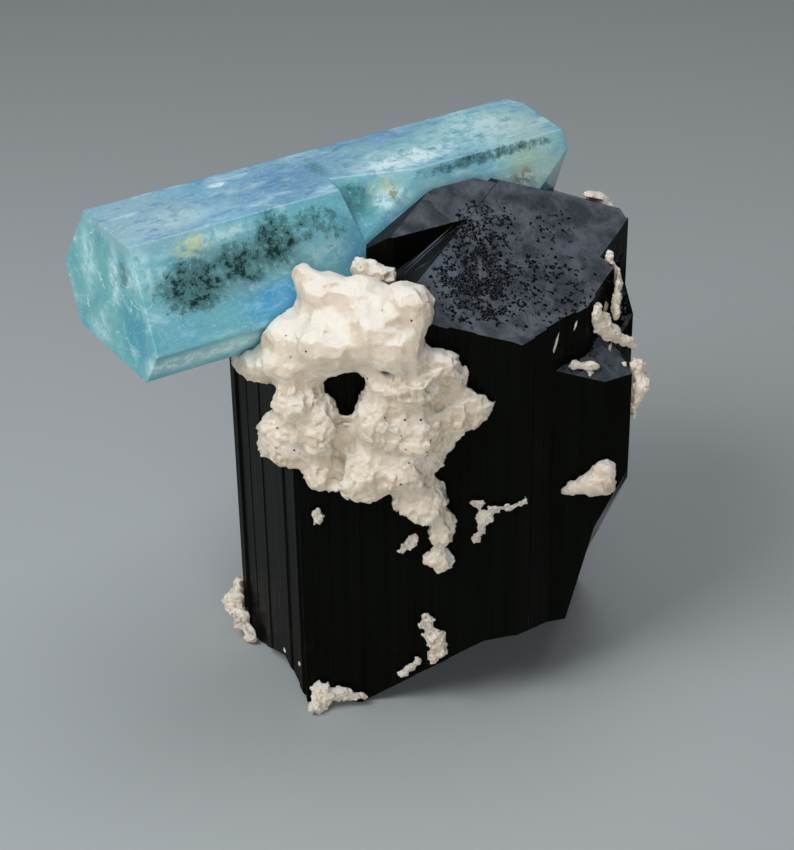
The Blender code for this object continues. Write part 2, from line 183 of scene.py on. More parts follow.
# small flecks of albite on the tourmaline: (centre, outward direction, length, width) in mm
FLECKS = [
    ((21.2, -1.6, 12.2), (0.84, -0.38, -0.38), 2.4, 0.7),
    ((-18.5, -14.2, 4.1), (-0.88, -0.47, 0.0), 1.1, 0.7),
    ((-16.5, -18.0, 4.9), (-0.88, -0.47, 0.0), 0.9, 0.6),
    ((14.2, -16.5, 49.2), (0.64, -0.77, 0.0), 2.4, 0.5),
    ((16.5, -14.9, 50.6), (0.61, -0.79, 0.0), 1.6, 0.4),
    ((18.3, -15.8, 44.9), (0.22, -0.4, 0.89), 1.4, 0.9),
    ((22.4, -13.8, 44.76), (0.22, -0.4, 0.89), 0.8, 0.7),
    ((20.9, -12.0, 45.95), (0.22, -0.4, 0.89), 1.4, 0.4),
    ((20.4, -9.4, 49.6), (0.85, -0.53, 0.0), 2.2, 1.3),
]
# the way the flecks are drawn out
FLECK_RUN = (0.3, 0.2, 1.0)

# what the lights and the camera are set round, in mm
TARGET = (-4.0, 0.0, 34.0)
# soft boxes: name, place and side in mm, power in watts
LIGHTS = (
    ("key_box", (-190, -150, 330), 200, 0.92),
    ("top_box", (60, 60, 360), 240, 0.44),
    ("front_box", (20, -340, 70), 220, 0.55),
    ("left_box", (-330, -10, 90), 160, 0.16),
)
# camera: place in mm, angle down and tilt in degrees, lens and sensor in mm
CAMERA_PLACE = (-4.0, -233.213, 173.953)
CAMERA_DOWN, CAMERA_ROLL = 32.0, -0.9
CAMERA_LENS, CAMERA_SENSOR = 93.18, 36.0


def linear(hex_colour, alpha=1.0):
    """sRGB hex such as "7FC4DA" as linear RGBA."""
    channels = [int(hex_colour[i:i + 2], 16) / 255 for i in (0, 2, 4)]
    return tuple(c / 12.92 if c <= 0.04045 else ((c + 0.055) / 1.055) ** 2.4
                 for c in channels) + (alpha,)


def period(millimetres):
    """Texture scale whose pattern repeats about every so many millimetres."""
    return 1.0 / (millimetres * MM)


def add(tree, kind, inputs=None, output=0, **settings):
    """Adds a node with its settings, sets or links its inputs, and returns one of its outputs."""
    made = tree.nodes.new("ShaderNode" + kind)
    for key, value in settings.items():
        setattr(made, key, value)
    for key, value in (inputs or {}).items():
        if isinstance(value, bpy.types.NodeSocket):
            tree.links.new(value, made.inputs[key])
        else:
            made.inputs[key].default_value = value
    return made.outputs[output] if made.outputs else made


def new_material(name):
    """Empty node material and its tree."""
    material = bpy.data.materials.new(name)
    material.use_nodes = True
    material.node_tree.nodes.clear()
    return material, material.node_tree


def region(tree, where, centre, half, strength=1.0):
    """Soft-edged ellipsoid: strength inside, 0 outside. centre and half sizes in mm."""
    offset = add(tree, "VectorMath", {0: where, 1: [c * MM for c in centre]}, operation="SUBTRACT")
    scaled = add(tree, "VectorMath", {0: offset, 1: [h * MM for h in half]}, operation="DIVIDE")
    reach = add(tree, "VectorMath", {0: scaled}, "Value", operation="LENGTH")
    return add(tree, "MapRange", {"Value": reach, "From Min": 1.15, "From Max": 0.35,
                                  "To Max": strength}, **EASED)


def regions(tree, where, shapes):
    """The strongest of several regions at each point."""
    total = None
    for shape in shapes:
        one = region(tree, where, *shape)
        total = one if total is None else add(tree, "Math", {0: total, 1: one},
                                              operation="MAXIMUM")
    return total


def patchy(tree, where, size, edges, detail=4.0, roughness=0.55, distortion=0.0,
           cover=(0.0, 1.0)):
    """Cover by irregular patches up to size mm, from one of cover to the other between edges."""
    pattern = add(tree, "TexNoise", {"Vector": where, "Scale": period(size), "Detail": detail,
                                     "Roughness": roughness, "Distortion": distortion})
    return add(tree, "MapRange", {"Value": pattern, "From Min": edges[0], "From Max": edges[1],
                                  "To Min": cover[0], "To Max": cover[1]}, **EASED)


def bent(tree, where, size, reach):
    """Places pushed about by up to reach mm, in waves of size mm, so cells aren't straight."""
    wave = add(tree, "TexNoise", {"Vector": where, "Scale": period(size), "Detail": 4.0}, "Color")
    shift = add(tree, "VectorMath", {0: wave, 1: [reach * MM] * 3}, operation="MULTIPLY")
    return add(tree, "VectorMath", {0: where, 1: shift}, operation="ADD")


def tinted(tree, colour, layers):
    """colour with the tint of each (cover, tint) laid over it in turn."""
    for cover, tint in layers:
        colour = add(tree, "Mix", {"Factor": cover, "A": colour, "B": tint}, "Result",
                     data_type="RGBA")
    return colour


def beryl_clouds_and_glow(tree, where, along):
    """Milky parts of the beryl: wide soft seams, patches, dust of 0.45 mm and white cracks; the
    patches also hold painted light along the lower front edge.
    """
    seams = add(tree, "Math", {0: patchy(tree, along, 2.6, (0.50, 0.72), 8.0, 0.66, 0.4), 1: 0.55},
                operation="MULTIPLY")
    patches = add(tree, "Math", {0: regions(tree, where, AQUA_CLOUDS_AND_GLOW),
                                 1: patchy(tree, where, 1.3, (0.34, 0.60), 8.0, 0.7, 0.3)},
                  operation="MULTIPLY")
    dust = add(tree, "Math", {0: patchy(tree, where, 0.45, (0.52, 0.68), 6.0, 0.75), 1: 0.32},
               operation="MULTIPLY")
    # cracks reach the surface by the near end only: fine white lines round cells of 3.4 mm
    rim = add(tree, "TexVoronoi", {"Vector": bent(tree, where, 2.0, 2.2), "Scale": period(3.4)},
              "Distance", feature="DISTANCE_TO_EDGE")
    line = add(tree, "MapRange", {"Value": rim, "From Min": 0.028, "From Max": 0.006}, **EASED)
    crack = add(tree, "Math", {0: line, 1: patchy(tree, where, 2.2, (0.50, 0.60), 5.0, 0.7,
                                                  cover=(0.0, 0.9))}, operation="MULTIPLY")
    crack = add(tree, "Math", {0: crack, 1: region(tree, where, *AQUA_CRACKED)},
                operation="MULTIPLY")
    cloud_and_glow = add(tree, "Math", {0: seams, 1: patches}, operation="MAXIMUM")
    cloud_and_glow = add(tree, "Math", {0: cloud_and_glow, 1: dust}, operation="MAXIMUM")
    return add(tree, "Math", {0: cloud_and_glow, 1: crack}, operation="MAXIMUM")


def beryl_mottles(tree, where):
    """Dark inclusions close under the face and their greyish halo, fewer towards each rim."""
    near = regions(tree, where, AQUA_MOTTLES)
    inside = add(tree, "MapRange", {"Value": near, "From Min": 0.02, "From Max": 0.2}, **EASED)
    short = add(tree, "Math", {0: near, 1: 1.0}, operation="SUBTRACT")
    fewer = add(tree, "Math", {0: short, 1: 0.22}, operation="MULTIPLY")
    pattern = add(tree, "TexNoise", {"Vector": where, "Scale": period(1.3), "Detail": 9.0,
                                     "Roughness": 0.78, "Distortion": 0.25})
    blots = add(tree, "Math", {0: pattern, 1: fewer}, operation="ADD")
    covers = []
    for low, high, most in ((0.33, 0.46, 0.8), (0.45, 0.56, 1.0)):
        edge = add(tree, "MapRange", {"Value": blots, "From Min": low, "From Max": high,
                                      "To Max": most}, **EASED)
        covers.append(add(tree, "Math", {0: edge, 1: inside}, operation="MULTIPLY"))
    return covers


def beryl_material(look):
    """Aquamarine, natural crystal faces: glassy, sky blue, with milky seams that glow in the light."""
    material, tree = new_material("aquamarine_natural_beryl")
    where = add(tree, "Mapping", {"Vector": add(tree, "TexCoord", output="Object"),
                                  "Location": [v * MM for v in AQUA_PLACE],
                                  "Rotation": [math.radians(v) for v in AQUA_TURN]},
                vector_type="TEXTURE")
    along = add(tree, "VectorMath", {0: where, 1: (0.5, 1.0, 1.0)}, operation="MULTIPLY")
    drawn_out = add(tree, "VectorMath", {0: where, 1: (0.4, 1.0, 1.0)}, operation="MULTIPLY")
    up = add(tree, "SeparateXYZ", {0: add(tree, "NewGeometry", output="Normal")}, "Z")
    upper = add(tree, "MapRange", {"Value": up, "From Min": 0.75, "From Max": 0.97}, **EASED)
    # the tint: paler blue on the upper face, which is painted light from above, then the zones, then
    # growth bands of up to 4 mm
    layers = [(upper, look.top_light_colour[:])]
    for *zone, tint, strength in AQUA_ZONES:
        layers.append((region(tree, where, *zone, strength), linear(tint)))
    layers.append((patchy(tree, along, 4.0, (0.50, 0.30), 7.0, 0.62, 0.5, (0.0, 0.5)),
                   look.deep_colour[:]))
    # growth marks, dark and pale, from a pattern of 1.1 mm, plainest on the upper face
    marks = add(tree, "TexNoise", {"Vector": drawn_out, "Scale": period(1.1), "Detail": 8.0,
                                   "Roughness": 0.74, "Distortion": 0.8})
    on_top = add(tree, "MapRange", {"Value": up, "From Min": 0.70, "From Max": 0.95,
                                    "To Min": 0.35}, **EASED)
    for low, high, most, tint in ((0.48, 0.36, 0.6, "5C9CDC"), (0.54, 0.66, 0.7, "DDF6FC")):
        mark = add(tree, "MapRange", {"Value": marks, "From Min": low, "From Max": high,
                                      "To Max": most}, **EASED)
        layers.append((add(tree, "Math", {0: mark, 1: on_top}, operation="MULTIPLY"),
                       linear(tint)))
    cloud_and_glow = beryl_clouds_and_glow(tree, where, along)
    halo, mottle = beryl_mottles(tree, where)
    stain = add(tree, "Math", {0: regions(tree, where, AQUA_STAINS),
                               1: patchy(tree, where, 0.7, (0.42, 0.56), 5.0, 0.7, 1.0)},
                operation="MULTIPLY")
    yellow = add(tree, "Math", {0: regions(tree, where, YELLOW_PATCH),
                                1: patchy(tree, where, 1.0, (0.40, 0.56), 6.0, 0.7)},
                 operation="MULTIPLY")
    layers += [(cloud_and_glow, look.cloud_and_glow_colour[:]), (stain, linear("7E6C40")),
               (yellow, linear("E0EEB0")), (halo, linear("5A8C8C")),
               (mottle, look.mottle_colour[:])]
    # clouds, the painted light along the lower front edge, and inclusions stop part of the light that
    # clear beryl lets through
    milky = add(tree, "Math", {0: cloud_and_glow, 1: 0.40}, operation="MULTIPLY")
    dark = add(tree, "Math", {0: mottle, 1: stain}, operation="MAXIMUM")
    dark = add(tree, "Math", {0: dark, 1: 0.50}, operation="MULTIPLY")
    solid = add(tree, "Math", {0: milky, 1: dark}, operation="MAXIMUM")
    fine = add(tree, "TexNoise", {"Vector": along, "Scale": period(0.4), "Detail": 6.0,
                                  "Roughness": 0.62, "Distortion": 0.3})
    relief = add(tree, "Math", {
        0: add(tree, "Math", {0: cloud_and_glow, 1: 0.4}, operation="MULTIPLY"),
        1: add(tree, "Math", {0: fine, 1: 0.6}, operation="MULTIPLY")}, operation="ADD")
    surface = add(tree, "BsdfPrincipled", {
        "Base Color": tinted(tree, look.clear_colour[:], layers), "IOR": BERYL_IOR,
        "Normal": add(tree, "Bump", {"Height": relief, "Distance": 0.05 * MM, "Strength": 0.5}),
        "Transmission Weight": add(tree, "Math", {0: look.clearness, 1: solid},
                                   operation="SUBTRACT", use_clamp=True),
        "Roughness": add(tree, "MapRange", {"Value": cloud_and_glow, "From Max": 0.9, "To Min": 0.08,
                                            "To Max": 0.34}, **EASED)})
    depth = add(tree, "VolumeAbsorption", {"Color": look.depth_colour[:],
                                           "Density": look.depth_density})
    add(tree, "OutputMaterial", {"Surface": surface, "Volume": depth})
    return material


def veil_material():
    """Healed fracture inside beryl: a film of tiny bubbles, far thinner than it is drawn, so it
    hardly bends the light and shows only as white dust."""
    material, tree = new_material("beryl_healed_fracture")
    patch = patchy(tree, add(tree, "TexCoord", output="Object"), 0.9, (0.46, 0.66), 8.0, 0.75, 0.3)
    surface = add(tree, "BsdfPrincipled", {
        "Base Color": tinted(tree, linear("C4EAF4"), [(patch, linear("F2FCFF"))]),
        "Transmission Weight": add(tree, "MapRange", {"Value": patch, "To Min": 0.97,
                                                      "To Max": 0.35}, **EASED),
        "IOR": 1.03, "Roughness": 0.1})
    add(tree, "OutputMaterial", {"Surface": surface})
    return material


def inclusion_material(look):
    """Dark flakes caught in the growing beryl: deep green, dull."""
    material, tree = new_material("beryl_dark_inclusions")
    grain = add(tree, "TexNoise", {"Vector": add(tree, "TexCoord", output="Object"),
                                   "Scale": period(0.3), "Detail": 4.0, "Roughness": 0.55})
    surface = add(tree, "BsdfPrincipled", {
        "Base Color": tinted(tree, look.mottle_colour[:], [(grain, linear("3E5B50"))]),
        "Roughness": add(tree, "MapRange", {"Value": grain, "From Min": 0.3, "From Max": 0.7,
                                            "To Min": 0.45, "To Max": 0.7}, **EASED)})
    add(tree, "OutputMaterial", {"Surface": surface})
    return material


def etch_pits(tree, where):
    """Etch pits, each one a cell of 0.38 mm, crowded in the zones and fewer around them."""
    cells = {"Vector": bent(tree, where, 0.5, 0.6), "Scale": period(0.38)}
    rim = add(tree, "TexVoronoi", cells, "Distance", feature="DISTANCE_TO_EDGE")
    chance = add(tree, "SeparateColor", {0: add(tree, "TexVoronoi", cells, "Color")})
    crowd = add(tree, "Math", {0: regions(tree, where, ETCH_ZONES),
                               1: patchy(tree, where, 1.8, (0.36, 0.54), 5.0, 0.7,
                                         cover=(0.3, 0.95))}, operation="MULTIPLY")
    over = add(tree, "Math", {0: crowd, 1: chance}, operation="SUBTRACT")
    return add(tree, "Math", {
        0: add(tree, "MapRange", {"Value": rim, "From Min": 0.03, "From Max": 0.10}, **EASED),
        1: add(tree, "MapRange", {"Value": over, "From Max": 0.08}, **EASED)},
        operation="MULTIPLY")


def schorl_material(look):
    """Black tourmaline: glassy striated prism faces, and a matt, pitted termination."""
    material, tree = new_material("black_tourmaline_schorl")
    where = add(tree, "TexCoord", output="Object")
    normal = add(tree, "NewGeometry", output="Normal")
    # of the three end faces the widest is matt and pitted, the other two hardly
    wide = add(tree, "VectorMath", {0: normal, 1: ETCHED_FACE}, "Value", operation="DOT_PRODUCT")
    up = add(tree, "SeparateXYZ", {0: normal}, "Z")
    termination = add(tree, "MapRange", {"Value": up, "From Min": 0.42, "From Max": 0.62}, **EASED)
    etched = add(tree, "Math", {
        0: termination,
        1: add(tree, "MapRange", {"Value": wide, "From Min": 0.80, "From Max": 0.965,
                                  "To Min": 0.16}, **EASED)}, operation="MULTIPLY")
    # growth striations run up the prism, 0.2 to 1 mm apart
    upright = add(tree, "VectorMath", {0: where, 1: (1.0, 1.0, 0.018)}, operation="MULTIPLY")
    parts = []
    for size, detail, share in ((0.75, 4.0, 0.7), (0.22, 3.0, 0.3)):
        line = add(tree, "TexNoise", {"Vector": upright, "Scale": period(size), "Detail": detail,
                                      "Roughness": 0.6})
        parts.append(add(tree, "Math", {0: line, 1: share}, operation="MULTIPLY"))
    striation_and_sheen = add(tree, "Math", dict(enumerate(parts)), operation="ADD")
    grain = add(tree, "TexNoise", {"Vector": where, "Scale": period(0.28), "Detail": 6.0,
                                   "Roughness": 0.7})
    across = add(tree, "VectorMath", {0: where, 1: (1.0, 0.35, 1.0)}, operation="MULTIPLY")
    scratches = patchy(tree, across, 1.2, (0.52, 0.66), 7.0, 0.72, 2.2)
    pitted = etch_pits(tree, where)
    # the slate grey of the etched faces is partly the matt surface and partly painted sheen of the
    # light from above
    slate_and_sheen = tinted(tree, look.etched_and_sheen_colour[:], [
        (patchy(tree, where, 3.0, (0.35, 0.65), 6.0, 0.6, 0.6), linear("2E3238")),
        (scratches, linear("4E545E")),
        (add(tree, "MapRange", {"Value": grain, "From Min": 0.35, "From Max": 0.65,
                                "To Max": 0.35}, **EASED), linear("4A5058")),
        (region(tree, where, *PALE_SLATE), linear("56606C"))])
    # a brownish tinge low on the prism
    low = add(tree, "MapRange", {"Value": add(tree, "SeparateXYZ", {0: where}, "Z"),
                                 "From Min": 16.0 * MM, "From Max": 2.0 * MM}, **EASED)
    rust = add(tree, "Math", {0: patchy(tree, where, 5.0, (0.52, 0.72)), 1: low},
               operation="MULTIPLY")
    rust = add(tree, "Math", {0: rust, 1: 0.6}, operation="MULTIPLY")
    # the striations are painted a lighter green: the growth lines, and partly painted reflection along
    # them of the light from the left
    prism = tinted(tree, look.prism_colour[:], [(striation_and_sheen, linear("10120C")),
                                                (rust, linear("24130F"))])
    fading = add(tree, "MapRange", {"Value": termination, "To Min": 0.7, "To Max": 0.0}, **EASED)
    along = add(tree, "Math", {0: striation_and_sheen, 1: fading}, operation="MULTIPLY")
    rough = add(tree, "Math", {
        0: add(tree, "Math", {0: grain, 1: 0.6}, operation="MULTIPLY"),
        1: add(tree, "Math", {0: scratches, 1: 0.7}, operation="MULTIPLY")}, operation="ADD")
    matt = add(tree, "MapRange", {"Value": etched, "To Min": 0.03, "To Max": 0.8}, **EASED)
    rough = add(tree, "Math", {0: rough, 1: matt}, operation="MULTIPLY")
    height = add(tree, "Math", {0: along, 1: rough}, operation="ADD")
    sunk = add(tree, "Math", {0: pitted, 1: 1.4}, operation="MULTIPLY")
    height = add(tree, "Math", {0: height, 1: sunk}, operation="SUBTRACT")
    surface = add(tree, "BsdfPrincipled", {
        # the pits are painted near black: the schorl's own black, with painted shade in the pits
        "Base Color": tinted(tree, prism, [(etched, slate_and_sheen), (pitted, linear("08080A"))]),
        "IOR": SCHORL_IOR, "Specular IOR Level": look.gloss,
        "Roughness": add(tree, "MapRange", {"Value": etched, "To Min": look.prism_roughness,
                                            "To Max": 0.52}, **EASED),
        "Normal": add(tree, "Bump", {"Height": height, "Distance": 0.12 * MM, "Strength": 0.8})})
    add(tree, "OutputMaterial", {"Surface": surface})
    return material


def albite_material(look):
    """Albite, sugary: small intergrown blocks, warm white, letting a little light in."""
    material, tree = new_material("sugary_albite")
    where = add(tree, "TexCoord", output="Object")
    tone = add(tree, "TexNoise", {"Vector": where, "Scale": period(4.0), "Detail": 4.0,
                                  "Roughness": 0.55})
    colour = add(tree, "ValToRGB", {"Fac": tone})
    stops = colour.node.color_ramp.elements
    stops.new(0.5)
    for stop, (position, tint) in zip(stops, ((0.30, linear("D3BFA2")),
                                              (0.48, look.albite_colour[:]),
                                              (0.70, linear("E6DAC8")))):
        stop.position = position
        stop.color = tint
    # painted light: upward faces are made paler than the sides, where the light from above falls
    up = add(tree, "SeparateXYZ", {0: add(tree, "NewGeometry", output="Normal")}, "Z")
    painted_top_light = add(tree, "MapRange", {"Value": up, "From Min": 0.35, "From Max": 0.85,
                                   "To Max": 0.85}, **EASED)
    # each block of 0.7 mm has its own shade and sheen
    blocks_of_tone = add(tree, "TexVoronoi", {"Vector": where, "Scale": period(0.7)}, "Color",
                         feature="F1")
    shade = add(tree, "SeparateColor", {0: blocks_of_tone})
    grain = add(tree, "TexNoise", {"Vector": where, "Scale": period(0.3), "Detail": 6.0,
                                   "Roughness": 0.7})
    # dark specks, about 0.3 mm across, here and there
    speck = add(tree, "TexVoronoi", {"Vector": where, "Scale": period(1.6)}, "Distance")
    dark = add(tree, "Math", {
        0: add(tree, "MapRange", {"Value": speck, "From Min": 0.11, "From Max": 0.07}, **EASED),
        1: patchy(tree, where, 5.0, (0.48, 0.54), 2.0)}, operation="MULTIPLY")
    colour = tinted(tree, colour, [
        # painted light on the upward faces
        (painted_top_light, linear("F6F1E8")),
        (add(tree, "MapRange", {"Value": shade, "To Max": 0.35}, **EASED), linear("EFE6DA")),
        (add(tree, "MapRange", {"Value": grain, "From Min": 0.56, "From Max": 0.70,
                                "To Max": 0.6}, **EASED), linear("FAF6F0")),
        (dark, linear("2E2520")),
        # painted shade inside the small hole
        (region(tree, where, *HOLE_PAINTED_SHADE), linear("120E0B"))])
    surface = add(tree, "BsdfPrincipled", {
        "Base Color": colour, "IOR": ALBITE_IOR,
        "Roughness": add(tree, "MapRange", {"Value": shade, "To Min": 0.38, "To Max": 0.7},
                         **EASED),
        "Subsurface Weight": 0.4, "Subsurface Radius": (1.0, 0.78, 0.55),
        "Subsurface Scale": 1.1 * MM,
        "Normal": add(tree, "Bump", {"Height": grain, "Distance": 0.22 * MM, "Strength": 1.0})})
    add(tree, "OutputMaterial", {"Surface": surface})
    return material


def floor_material():
    """Matt paper: pale, with no gloss."""
    material, tree = new_material("matt_paper_floor")
    surface = add(tree, "BsdfPrincipled", {"Base Color": linear("A7ADAF"), "Roughness": 0.7})
    add(tree, "OutputMaterial", {"Surface": surface})
    return material


def mesh_object(name, bm, material, smooth=False):
    """New scene object from bm, which is freed."""
    mesh = bpy.data.meshes.new(name)
    bm.normal_update()
    bm.to_mesh(mesh)
    bm.free()
    mesh.materials.append(material)
    for polygon in mesh.polygons:
        polygon.use_smooth = smooth
    made = bpy.data.objects.new(name, mesh)
    bpy.context.scene.collection.objects.link(made)
    return made


def node_bmesh(name):
    """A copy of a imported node's mesh, with its flat faces joined up again."""
    bm = bmesh.new()
    bm.from_mesh(NODES[name].data)
    bmesh.ops.remove_doubles(bm, verts=bm.verts, dist=0.002 * MM)
    return bm


def applied(made, **modifiers):
    """made with one modifier of each kind applied to its mesh."""
    for kind, settings in modifiers.items():
        modifier = made.modifiers.new(kind, kind)
        for key, value in settings.items():
            setattr(modifier, key, value)
    graph = bpy.context.evaluated_depsgraph_get()
    mesh = bpy.data.meshes.new_from_object(made.evaluated_get(graph))
    made.modifiers.clear()
    old, made.data = made.data, mesh
    bpy.data.meshes.remove(old)
    return made


def finish_piece(made, slot, *nodes):
    """The piece rides on the specimen and stands for the nodes named, which are hidden; slot is not
    used.
    """
    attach(made, "root")
    if nodes:
        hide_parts(*nodes)
    return made


def aqua_matrix():
    """From the aquamarine's own axes, in mm, to the frame, in metres."""
    turn = Euler([math.radians(v) for v in AQUA_TURN]).to_matrix().to_4x4()
    return Matrix.Translation(Vector(AQUA_PLACE) * MM) @ turn @ Matrix.Scale(MM, 4)


def flake(bm, centre, normal, length, width, thick, rng, spin=None):
    """One thin closed flake with a ragged outline, added to bm. Sizes in the units of centre."""
    normal = Vector(normal).normalized()
    axis = (spin or Vector((1.0, 0.0, 0.0)))
    axis = (axis - normal * axis.dot(normal)).normalized()
    other = normal.cross(axis)
    sides = 11
    ring = []
    for step in range(sides):
        turn = 2 * math.pi * step / sides
        reach = rng.uniform(0.62, 1.12)
        ring.append(axis * math.cos(turn) * length * 0.5 * reach
                    + other * math.sin(turn) * width * 0.5 * reach)
    centre = Vector(centre)
    edge = [bm.verts.new(centre + point) for point in ring]
    crown = bm.verts.new(centre + normal * thick * 0.5)
    foot = bm.verts.new(centre - normal * thick * 0.5)
    for first, second in zip(edge, edge[1:] + edge[:1]):
        bm.faces.new((first, second, crown))
        bm.faces.new((second, first, foot))


def film(bm, centre, normal, length, width, thick, rng):
    """One thin closed sheet, gently waved, with a ragged outline. Sizes in the units of centre."""
    normal = Vector(normal).normalized()
    axis = Vector((1.0, rng.uniform(-0.4, 0.4), rng.uniform(-0.4, 0.4)))
    axis = (axis - normal * axis.dot(normal)).normalized()
    other = normal.cross(axis)
    centre = Vector(centre)
    spokes, rings = 20, 4
    shift = Vector((rng.uniform(0, 90), rng.uniform(0, 90), rng.uniform(0, 90)))
    sides = []
    for side in (0.5, -0.5):
        middle = bm.verts.new(centre + normal * thick * side)
        layers = []
        for ring in range(1, rings + 1):
            layer = []
            for spoke in range(spokes):
                turn = 2 * math.pi * spoke / spokes
                rim = Vector((math.cos(turn), math.sin(turn), 0.0))
                reach = ring / rings * (0.85 + 0.30 * noise.noise(rim * 2.3 + shift))
                flat = axis * (rim.x * length * 0.5 * reach) + other * (rim.y * width * 0.5 * reach)
                wave = noise.noise((centre + flat) * 0.5 + shift) * 0.10 * length
                lift = thick * side * (0.2 if ring == rings else 1.0)
                layer.append(bm.verts.new(centre + flat + normal * (wave + lift)))
            layers.append(layer)
        middle.co += normal * noise.noise(centre * 0.5 + shift) * 0.10 * length
        sides.append((middle, layers))
    for number, (middle, layers) in enumerate(sides):
        for k in range(spokes):
            n = (k + 1) % spokes
            faces = [(middle, layers[0][k], layers[0][n])]
            for inner, outer in zip(layers, layers[1:]):
                faces.append((inner[k], outer[k], outer[n], inner[n]))
            for face in faces:
                bm.faces.new(face if number == 0 else face[::-1])
    top, foot = sides[0][1][-1], sides[1][1][-1]
    for k in range(spokes):
        n = (k + 1) % spokes
        bm.faces.new((top[k], foot[k], foot[n], top[n]))


class SpecimenLook(bpy.types.PropertyGroup):
    """Colours and finishes of the three minerals."""
    clear_colour: bpy.props.FloatVectorProperty(
        name="Clear beryl", description="Tint of the clear aquamarine", subtype="COLOR", size=4,
        min=0.0, max=1.0, default=linear("92E2EE"))
    # painted light: the paler tint of the upward faces
    top_light_colour: bpy.props.FloatVectorProperty(
        name="Top face", description="Tint of the upper face", subtype="COLOR", size=4,
        min=0.0, max=1.0, default=linear("A8E2FF"))
    deep_colour: bpy.props.FloatVectorProperty(
        name="Deep tint", description="Darker bands of the aquamarine", subtype="COLOR", size=4,
        min=0.0, max=1.0, default=linear("52A8D8"))
    # also the colour of the painted light along the lower front edge
    cloud_and_glow_colour: bpy.props.FloatVectorProperty(
        name="Cloud", description="Colour of the cloudy seams", subtype="COLOR", size=4,
        min=0.0, max=1.0, default=linear("E4FAFC"))
    clearness: bpy.props.FloatProperty(
        name="Clearness", description="How much of the clear beryl's light passes through",
        default=0.50, min=0.0, max=1.0, subtype="FACTOR")
    mottle_colour: bpy.props.FloatVectorProperty(
        name="Inclusions", description="Colour of the dark inclusions", subtype="COLOR", size=4,
        min=0.0, max=1.0, default=linear("16322F"))
    depth_colour: bpy.props.FloatVectorProperty(
        name="Depth", description="Colour that deep clear beryl turns to", subtype="COLOR", size=4,
        min=0.0, max=1.0, default=linear("5FC4EC"))
    depth_density: bpy.props.FloatProperty(
        name="Depth density", description="Absorption per metre of clear beryl", default=13.0,
        min=0.0)
    # the slate grey is partly painted sheen of the light from above
    etched_and_sheen_colour: bpy.props.FloatVectorProperty(
        name="Etched schorl", description="Colour of the matt termination", subtype="COLOR", size=4,
        min=0.0, max=1.0, default=linear("585D65"))
    prism_colour: bpy.props.FloatVectorProperty(
        name="Prism schorl", description="Colour of the prism faces", subtype="COLOR", size=4,
        min=0.0, max=1.0, default=linear("020302"))
    prism_roughness: bpy.props.FloatProperty(
        name="Prism roughness", description="Roughness of the prism faces", default=0.17,
        min=0.0, max=1.0, subtype="FACTOR")
    gloss: bpy.props.FloatProperty(
        name="Gloss", description="How strongly the tourmaline's faces mirror the room",
        default=0.018, min=0.0, max=1.0, subtype="FACTOR")
    albite_colour: bpy.props.FloatVectorProperty(
        name="Albite", description="Main colour of the albite", subtype="COLOR", size=4,
        min=0.0, max=1.0, default=linear("DECDB4"))


class SpecimenSizes(bpy.types.PropertyGroup):
    """Sizes of the added detail."""
    edge_wear: bpy.props.FloatProperty(
        name="Edge wear", description="Width of the worn crystal edges", default=0.16 * MM,
        min=0.0, unit="LENGTH")
    pit_depth: bpy.props.FloatProperty(
        name="Pit depth", description="Depth of the etch pits on the termination",
        default=0.08 * MM, min=0.0, unit="LENGTH")
    veils: bpy.props.IntProperty(
        name="Veils", description="How many healed fractures lie in the aquamarine", default=150,
        min=0)
    inclusions: bpy.props.IntProperty(
        name="Inclusions", description="How many dark inclusions lie in the aquamarine",
        default=420, min=0)


class SPECIMEN_OT_aquamarine(bpy.types.Operator):
    """Makes the aquamarine with worn edges"""
    bl_idname = "specimen.aquamarine"
    bl_label = "Aquamarine"

    def execute(self, context):
        material = beryl_material(context.scene.specimen_look)
        bm = node_bmesh("aquamarine_crystal")
        bmesh.ops.dissolve_limit(bm, angle_limit=math.radians(1.0), verts=bm.verts, edges=bm.edges)
        made = mesh_object("aquamarine", bm, material)
        applied(made, BEVEL={"width": context.scene.specimen_sizes.edge_wear, "segments": 2,
                             "limit_method": "ANGLE", "angle_limit": math.radians(12)})
        finish_piece(made, "aquamarine", "aquamarine_crystal")
        return {"FINISHED"}


def inside_aquamarine(point, margin):
    """Whether a point in the aquamarine's own axes, in mm, is inside its prism by margin."""
    for angle, distance in AQUA_SIDES:
        turn = math.radians(angle)
        if -math.sin(turn) * point[1] + math.cos(turn) * point[2] > distance - margin:
            return False
    return margin + 0.6 < point[0] < AQUA_LENGTH - 6.0 - margin


